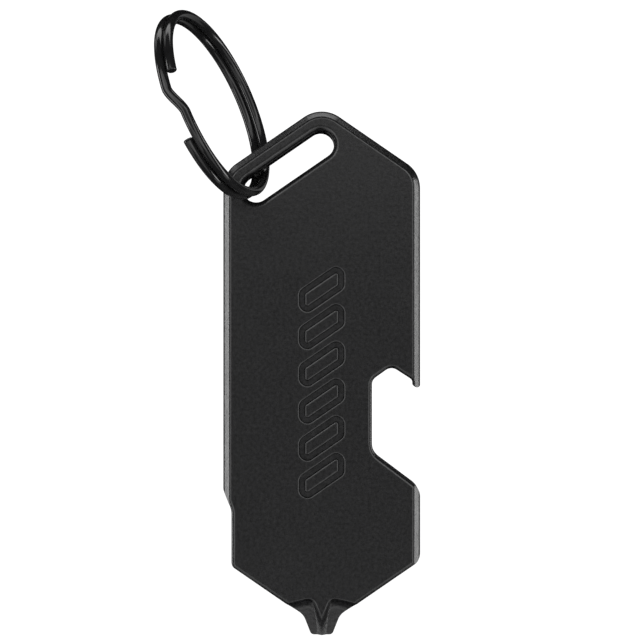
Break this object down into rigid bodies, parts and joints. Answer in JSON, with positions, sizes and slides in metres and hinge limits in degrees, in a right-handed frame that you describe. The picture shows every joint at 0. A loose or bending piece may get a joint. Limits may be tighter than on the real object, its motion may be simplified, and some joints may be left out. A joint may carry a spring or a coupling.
{
  "type": "keychain bottle opener",
  "caption": "Flat steel keychain tool with a cap-lifter notch and a cross-point driver tip, carried on a split ring through a slanted slot.",
  "frame": {"origin": "middle of the driver tip's flat end face, at the tool's lower end", "axes": "+Z along the tool from the driver tip to the ring end, +X towards the edge with the cap-lifter notch, -Y out of the front face"},
  "size_m": [0.0338, 0.0245, 0.0823],
  "materials": {
    "black_steel": "satin black coating with a fine orange-peel grain",
    "black_wire": "glossy black plated spring wire"
  },
  "bodies": {
    "ring": {"split_ring": "black_wire"},
    "opener": {"opener_body": "black_steel"}
  },
  "joints": [
    {"name": "ring_swing", "type": "hinge", "parent": "ring", "child": "opener", "pos_m": [-0.01048, 0, 0.06212], "axis": [0.8241, 0, 0.5664], "range_deg": [-8, 70]}
  ]
}
